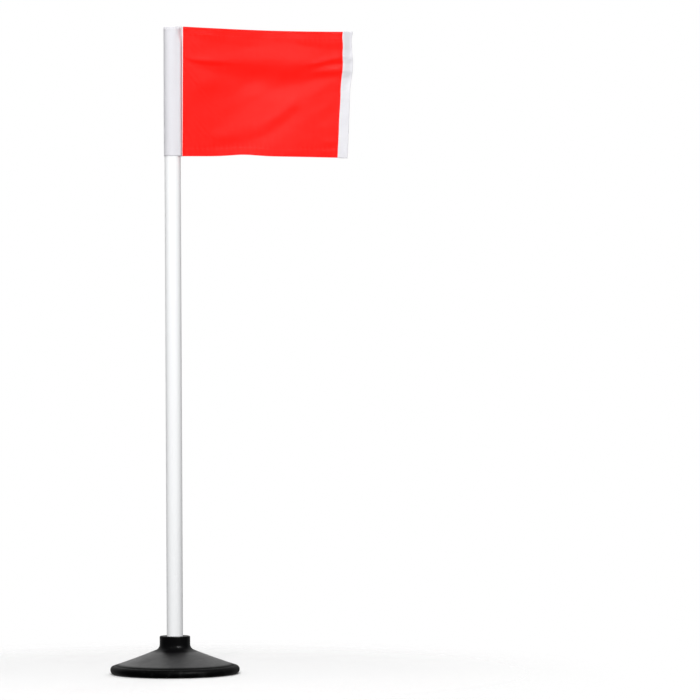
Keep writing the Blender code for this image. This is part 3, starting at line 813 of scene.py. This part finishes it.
def make_band(sheet, cloth):
    """White tape folded over the fly edge, on both faces."""
    t = np.linspace(0, 1, 150)
    columns = [(share, 0.0) for share in np.linspace(BAND_SHARE, 1.0, 18)]
    columns += [(1.0, angle) for angle in (30.0, 60.0, 90.0, 120.0, 150.0)]
    columns += [(share, 180.0) for share in np.linspace(1.0, BAND_SHARE, 18)]
    points, uv = [], []
    for column, (s, angle) in enumerate(columns):
        point, along, up, front = sheet.frame_at(np.full_like(t, s), t)
        point = point + up * (BAND_OVERHANG * (2 * t - 1))[:, None]
        turned_by = math.radians(angle)
        x = np.full_like(t, (s - BAND_SHARE) * FLAT_WIDTH)
        lift = BAND_LIFT + band_relief(x, t * FLAT_HEIGHT)
        lift = np.where(x < 0.0008, lift - 0.0002, lift)
        outward = front * math.cos(turned_by) + along * math.sin(turned_by)
        points.append(point + outward * lift[:, None])
        uv.append(np.stack([np.full_like(t, column * BAND_WIDTH / 18), t * FLAT_HEIGHT], axis=1))
    points, uv = np.stack(points, axis=1), np.stack(uv, axis=1)
    return cloth_piece("fly_tape", points, uv, cloth, "white_cloth", "fly_band")


def seam_edge(t):
    """How far out the sleeve's tails end: a little further at the top."""
    return SEAM_END - 0.0018 + 0.0026 * t


def sleeve_path(radius, offset, slack=0.0):
    """The sleeve in plan, from its front tail round the pole to its back tail. Slack, 0 to 1, is how
    squarely its two sides stand off the pole beside the seam."""
    reach = math.hypot(SEAM_START, offset)
    leave = math.degrees(math.acos(min(1.0, radius / reach)) + math.atan2(offset, SEAM_START))
    path = [(x, -offset) for x in np.linspace(SEAM_END, SEAM_START + 0.0012, 6)]
    for angle in np.radians(np.linspace(-leave, leave - 360, SLEEVE_STEPS)):
        path.append((radius * math.cos(angle), radius * math.sin(angle)))
    path += [(x, offset) for x in np.linspace(SEAM_START + 0.0012, SEAM_END, 6)]
    path = np.array(path)
    turn = np.degrees(np.arctan2(np.abs(path[:, 1]), path[:, 0]))
    push = 0.004 * slack * bump(turn, 32, 18) * ease(turn / 12)
    path *= 1 + (push / np.linalg.norm(path, axis=1))[:, None]
    for _ in range(3):
        path[1:-1] = 0.25 * path[:-2] + 0.5 * path[1:-1] + 0.25 * path[2:]
    return path


def away_from_pole(path):
    """The unit normals of the sleeve's path in plan, on its outer side."""
    side = np.gradient(path, axis=0)
    normal = unit(np.stack([-side[:, 1], side[:, 0]], axis=1))
    return np.where((normal * path).sum(1, keepdims=True) < 0, -normal, normal)


def sleeve_relief(around, z, round_share):
    """Soft vertical waves, sideways creases that start at the seam, and gathers beside its stitches."""
    waves = 0.00028 * ripple(around, z * 0.22, 51, 0.022)
    drag = 0.0003 * ripple(around * 0.5, z, 52, 0.035) * (0.35 + 0.65 * (1 - round_share))
    hem = -0.0002 * bump(z, HEM_WIDTH, 0.0008) + 0.00016 * pucker(z - HEM_WIDTH, around, 53)
    top = FLAG_HEIGHT - (CROWN_HIGH - SLEEVE_HIGH)
    crown = 0.0003 * bump(z, top, 0.006) * np.sin(around / 0.0058)
    return waves + drag + hem + crown


def make_sleeve(cloth):
    """White pocket round the pole, hemmed inside at its bottom, its two tails over the panel's edge."""
    radius = SLEEVE_OUTER - SLEEVE_EASE
    offset = CLOTH / 2 + LAYER_GAP + CLOTH / 2 + SLEEVE_EASE
    tight = sleeve_path(radius, offset)
    path = sleeve_path(radius, offset, 1.0)
    outward = away_from_pole(path)
    outward[:8] = (0, -1)
    outward[-8:] = (0, 1)
    along = run_along(path)
    around_pole = ease((SEAM_START - 0.001 - path[:, 0]) / 0.012)
    height = SLEEVE_HIGH - SLEEVE_LOW
    inside = CLOTH + LAYER_GAP
    layers = [(z, inside) for z in np.linspace(HEM_WIDTH * 0.95, 0.0004, 6)]
    layers.append((0.0, inside / 2))
    layers += [(z, 0.0) for z in np.linspace(0.0004, height, 150)]
    points, uv = [], []
    for k, (z, inward) in enumerate(layers):
        relief = sleeve_relief(along, z, around_pole)
        relief = np.where(inward > 0, np.minimum(relief, 0), relief)
        keep = 0.0002 + 0.0008 * around_pole
        relief = np.clip(relief, -keep * 0.5, keep)
        slack = 1 - ease((z - height + 0.045) / 0.035)
        place = tight + (path - tight) * slack + outward * (relief - inward)[:, None]
        tail = np.maximum(place[:, 0] - SEAM_START, 0)
        place[:, 0] += tail * (seam_edge(z / height) - SEAM_END) / (SEAM_END - SEAM_START)
        beyond = ease((place[:, 0] - 0.0188) / 0.002)
        rise = z / height * (FLAG_HEIGHT + 0.0004 - height) * beyond
        points.append(np.column_stack([place, SLEEVE_LOW + z + rise]))
        uv.append(np.column_stack([along, np.full(len(path), k * 0.002)]))
    return cloth_piece("sleeve_cloth", points, uv, cloth, "white_cloth", "hoist_sleeve")


def make_crown(cloth):
    """Round end patch, gathered a little where it turns down into the sleeve."""
    radius = SLEEVE_OUTER - 0.0002
    turn = 0.0042
    top = CROWN_HIGH - 0.0002
    profile = [(0, top)] + [(r, top) for r in np.linspace(0.003, radius - turn, 8)[:-1]]
    profile += arc((radius - turn, top - turn), turn, 90, 12, 9)
    profile += [(radius - 0.0007, CROWN_LOW - 0.0012), (radius - 0.0009, CROWN_LOW - 0.004)]
    profile = np.array(profile)
    sides = CROWN_SIDES
    angles = np.arange(sides) * 2 * math.pi / sides
    points, uv = [], []
    for r, z in profile:
        edge = ease((r - 0.009) / 0.011) * ease((z - CROWN_LOW + 0.001) / 0.002)
        gathers = 0.00035 * np.sin(angles * 17 + 0.8 * np.sin(3 * angles)) * edge
        sag = -0.0006 * (1 - ease(r / 0.016)) * (1 + 0.4 * np.sin(2 * angles + 1))
        spread = r + gathers * 0.6
        height = z + sag + gathers * 0.8
        points.append(np.column_stack([spread * np.cos(angles), spread * np.sin(angles), height]))
        uv.append(np.column_stack([r * np.cos(angles), r * np.sin(angles)]))
    faces = flipped(grid_faces(len(profile) - 1, sides, closed=True))
    vertices = np.concatenate(points[1:] + [points[0].mean(axis=0)[None, :]])
    pairs = np.concatenate(uv[1:] + [np.zeros((1, 2))])
    faces += [(len(vertices) - 1, i, (i + 1) % sides) for i in range(sides)]
    crown = new_object("crown_cloth", vertices, faces, pairs)
    one_layer(crown)
    return add_piece(crown, cloth, "flag_crown", "white_cloth", "sleeve_crown")


# ------------ stitches


def stitch_shape():
    """One stitch along X, highest in its middle, its two ends dipping into the cloth."""
    rings, sides = 7, 8
    vertices = []
    for i in range(rings):
        share = i / (rings - 1)
        x = (share - 0.5) * STITCH_LENGTH
        thick = STITCH_RADIUS * math.sqrt(max(1 - (2 * share - 1) ** 4, 0.02))
        dip = -0.00022 * (2 * share - 1) ** 4
        for k in range(sides):
            angle = 2 * math.pi * k / sides
            vertices.append((x, thick * math.cos(angle), thick * 0.8 * math.sin(angle) + dip))
    faces = flipped(grid_faces(rings, sides, closed=True))
    faces += [tuple(range(sides)), tuple(range(rings * sides - 1, (rings - 1) * sides - 1, -1))]
    return np.array(vertices), faces


def stitch_row(name, points, normals, thread, slot, node):
    """A row of stitches along a line of points, on the side that the normals face."""
    shape, shape_faces = stitch_shape()
    run = run_along(points)
    count = int(run[-1] / STITCH_PITCH)
    centres = (np.arange(count) + 0.5) * run[-1] / count

    def read(values, shift=0.0):
        return np.stack([np.interp(centres + shift, run, values[:, k]) for k in range(3)], axis=1)

    place = read(points)
    up = unit(read(normals))
    along = read(points, 0.001) - read(points, -0.001)
    along = unit(along - (along * up).sum(1, keepdims=True) * up)
    aside = np.cross(up, along)
    lean = np.random.default_rng(len(name)).normal(0, 0.05, count)[:, None]
    along, aside = along + aside * lean, aside - along * lean
    vertices, faces = [], []
    for i in range(count):
        start = len(shape) * i
        turned_by = np.stack([along[i], aside[i], up[i]])
        vertices.append(shape @ turned_by + place[i] + up[i] * STITCH_RADIUS * 0.35)
        faces += [tuple(start + v for v in face) for face in shape_faces]
    return add_piece(new_object(name, np.concatenate(vertices), faces), thread, "flag", slot, node)


def both_faces(name, front, back, thread, slot):
    """A row of stitches on each face of a seam. Front and back are each (points, normals)."""
    return [stitch_row(f"{name}_stitches_{face}", *line, thread, slot, f"{name}_thread_{face}")
            for face, line in (("front", front), ("back", back))]


def make_hem_stitches(sheet, red):
    made = []
    s = np.linspace(SEAM_SHARE + 0.004, BAND_SHARE - 0.004, 240)
    inset = HEM_SHARE - HEM_INSET / FLAT_HEIGHT
    for edge, t in (("top", 1 - inset), ("bottom", inset)):
        rows = np.full_like(s, t)
        point, _, _, front = sheet.frame_at(s, rows)
        relief = panel_relief(s, rows)[:, None]
        on_front = point + front * (relief + CLOTH / 2)
        on_back = point + front * (relief - CLOTH * 1.5 - LAYER_GAP)
        made += both_faces(f"{edge}_hem", (on_front, front), (on_back, -front), red, "red_thread")
    return made


def make_fly_stitches(sheet, white):
    t = np.linspace(0.006, 0.994, 200)
    s = np.full_like(t, BAND_SHARE + SEAM_INSET / FLAT_WIDTH)
    point, _, _, front = sheet.frame_at(s, t)
    x = np.full_like(t, SEAM_INSET)
    lift = (BAND_LIFT + band_relief(x, t * FLAT_HEIGHT) + CLOTH / 2)[:, None]
    return both_faces("fly_seam", (point + front * lift, front), (point - front * lift, -front),
                      white, "white_thread")


def make_hoist_stitches(white):
    t = np.linspace(0.006, 0.994, 120)
    z = SLEEVE_LOW + FLAG_HEIGHT * t
    offset = CLOTH + LAYER_GAP + SLEEVE_EASE + CLOTH / 2
    front, back = [(np.column_stack([seam_edge(t) - HOIST_INSET, np.full_like(z, side * offset), z]),
                    np.tile([0.0, side, 0.0], (len(z), 1))) for side in (-1.0, 1.0)]
    return both_faces("hoist_seam", front, back, white, "white_thread")


def make_sleeve_stitches(white):
    """Round the sleeve's bottom hem, and round its top where the crown is sewn in."""
    made = []
    radius = SLEEVE_OUTER - SLEEVE_EASE + CLOTH / 2 + 0.0001
    offset = CLOTH * 1.5 + LAYER_GAP + SLEEVE_EASE
    for seam, height, slack in (("sleeve_hem", SLEEVE_LOW + HEM_WIDTH, 1.0),
                                ("crown_seam", SLEEVE_HIGH - SEAM_INSET, 0.0)):
        path = sleeve_path(radius, offset, slack)[8:-8]
        normal = np.column_stack([away_from_pole(path), np.zeros(len(path))])
        points = np.column_stack([path, np.full(len(path), height)])
        made.append(stitch_row(f"{seam}_stitches", points, normal, white, "white_thread", f"{seam}_thread"))
    return made


# ------------ stage


def make_floor():
    """A pale floor round the object that fades out into the plain backdrop."""
    rings = np.concatenate([[0.0], np.geomspace(0.05, 3.0, 40)])
    floor = turned("floor", [(r, -0.0004) for r in rings], 96)
    material, tree, where = surface("pale_floor", Roughness=0.85, Specular_IOR_Level=0.1)
    reach = from_axis(tree, where)
    grain = noise(tree, where, 300.0, 2.0)
    feed(tree, "Base Color", blend(tree, grain, FLOOR, FLOOR_PALE))
    feed(tree, "Alpha", remap(tree, reach, 0.35, 1.1, 1.0, 0.0))
    floor.data.materials.append(material)
    floor.visible_glossy = False
    floor.visible_diffuse = False


def make_world():
    """A white studio, bright above and behind, dim at the horizon and to the front."""
    world = bpy.data.worlds.new("studio")
    bpy.context.scene.world = world
    world.use_nodes = True
    tree = world.node_tree
    parts = split(tree, add_node(tree, "ShaderNodeTexCoord").outputs["Generated"])
    wall = remap(tree, parts[1], 0.2, 0.6)
    height = remap(tree, parts[2], -0.1, 0.7, 0.45, 0.95)
    above = remap(tree, parts[2], 0.1, 0.9, 0.012, 0.1)
    light = plus(tree, times(tree, wall, height), above)
    seen = add_node(tree, "ShaderNodeLightPath").outputs["Is Camera Ray"]
    strength = plus(tree, times(tree, light, calc(tree, "SUBTRACT", 1.0, seen)), seen)
    background = tree.nodes["Background"]
    background.inputs["Color"].default_value = (1.0, 1.0, 1.0, 1.0)
    tree.links.new(strength, background.inputs["Strength"])


def area_light(name, place, target, size, share):
    """A softbox that adds this share of full white to a matt surface facing it at its target."""
    data = bpy.data.lights.new(name, "AREA")
    data.shape = "SQUARE"
    data.size = size
    away = Vector(target) - Vector(place)
    data.energy = share * math.pi**2 * away.length_squared
    lamp = bpy.data.objects.new(name, data)
    lamp.location = place
    lamp.rotation_euler = away.to_track_quat("-Z", "Y").to_euler()
    bpy.context.scene.collection.objects.link(lamp)
    return lamp


# Each softbox: its name, place, target, size, and share of full white on a matt surface
SOFTBOXES = (
    ("key", (-0.1, -6.4, 2.9), (0.05, 0, 0.8), 2.4, 1.16),
    ("overhead", (0, -0.4, 3.9), (0, 0, 0.8), 3.0, 0.6),
    ("right_fill", (4.4, -0.6, 1.9), (0.1, 0, 0.8), 2.2, 0.08),
    ("left_fill", (-4.4, -0.4, 1.9), (0.1, 0, 0.8), 2.2, 0.1),
    ("back_fill", (1.2, 4.6, 2.6), (0.1, 0, 0.9), 2.2, 0.3),
)
# Lights that are only seen reflected
GLINTS = (
    ("flag_sheen", (-1.6, -3.4, 4.2), (0.2, 0, 1.55), 1.6, 0.015),
    ("spark", (1.7, -2.6, 1.9), (0, 0, 0.1), 0.35, 0.04),
)
GLINT_SPREAD = math.radians(28)


def make_lights():
    for softbox in SOFTBOXES:
        area_light(*softbox).visible_glossy = False
    for glint in GLINTS:
        lamp = area_light(*glint)
        lamp.data.spread = GLINT_SPREAD
        lamp.visible_diffuse = False


def make_camera():
    data = bpy.data.cameras.new("camera")
    data.lens = CAMERA_LENS
    data.clip_end = 60
    camera = bpy.data.objects.new("camera", data)
    camera.location = (VIEW_CENTRE[0], -CAMERA_DISTANCE, CAMERA_HEIGHT)
    ahead = Vector((0, CAMERA_DISTANCE, VIEW_CENTRE[1] - CAMERA_HEIGHT)).normalized()
    aim = ahead.to_track_quat("-Z", "Y").to_matrix().to_4x4()
    roll = Matrix.Rotation(CAMERA_ROLL, 4, "Z")
    camera.rotation_euler = (aim @ roll).to_euler()
    bpy.context.scene.collection.objects.link(camera)
    bpy.context.scene.camera = camera


# ------------ build


def make_flag():
    # The red cloth's emission is painted light, which keeps its folds bright.
    red = cloth_material("red_flag_cloth", RED, RED_SHADE, RED_PITCH, 0.5, Sheen_Weight=0.0,
                         Emission_Color=(*RED_GLOW, 1.0), Emission_Strength=0.08)
    white = cloth_material("white_flag_cloth", WHITE, WHITE_SHADE, WHITE_PITCH, 0.7, Sheen_Weight=0.05)
    white_thread = thread_material("white_thread", WHITE_THREAD)
    red_thread = thread_material("red_thread", RED_THREAD)
    sheet = Sheet(settled_cloth())
    panel = make_panel(sheet, red)
    band = make_band(sheet, white)
    sleeve = make_sleeve(white)
    crown = make_crown(white)
    hems = make_hem_stitches(sheet, red_thread)
    fly = make_fly_stitches(sheet, white_thread)
    hoist = make_hoist_stitches(white_thread)
    tops = make_sleeve_stitches(white_thread)


def main():
    scene = bpy.context.scene
    scene.view_settings.view_transform = "Standard"
    make_camera()
    make_world()
    make_lights()
    make_floor()
    make_base(rubber_material())
    make_pole(pole_material())
    make_cap(plug_material("white_cap_plastic", CAP))
    make_plug(plug_material("black_plug_plastic", PLUG))
    make_flag()


main()
